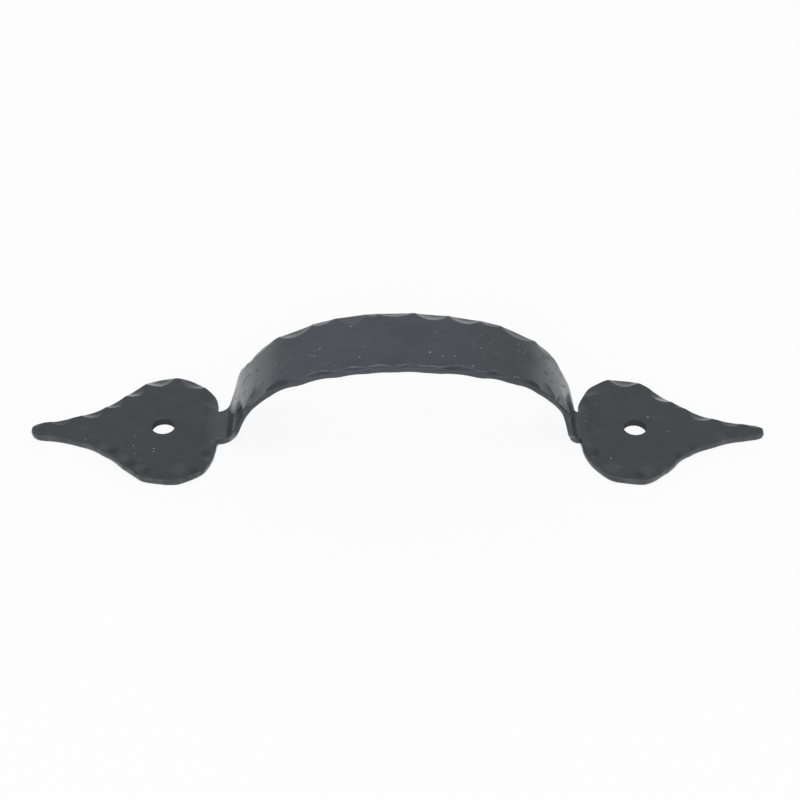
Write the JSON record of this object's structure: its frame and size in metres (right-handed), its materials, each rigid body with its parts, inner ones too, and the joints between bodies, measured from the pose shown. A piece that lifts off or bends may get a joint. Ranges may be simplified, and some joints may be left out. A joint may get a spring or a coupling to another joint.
{
  "type": "cabinet pull",
  "caption": "Hammered black steel cabinet pull: a low arched strap handle between flat heart-shaped leaves, each with a screw hole.",
  "frame": {"origin": "midway between the two screw holes, on the plane of the leaves' backs, which lies on the cabinet's surface", "axes": "+X along the pull towards the right leaf, +Y across the strap, +Z away from the cabinet's surface"},
  "size_m": [0.1773, 0.0382, 0.029],
  "materials": {
    "forged_steel": "satin near-black finish over hammered steel"
  },
  "bodies": {
    "root": {"pull": "forged_steel"}
  },
  "joints": []
}
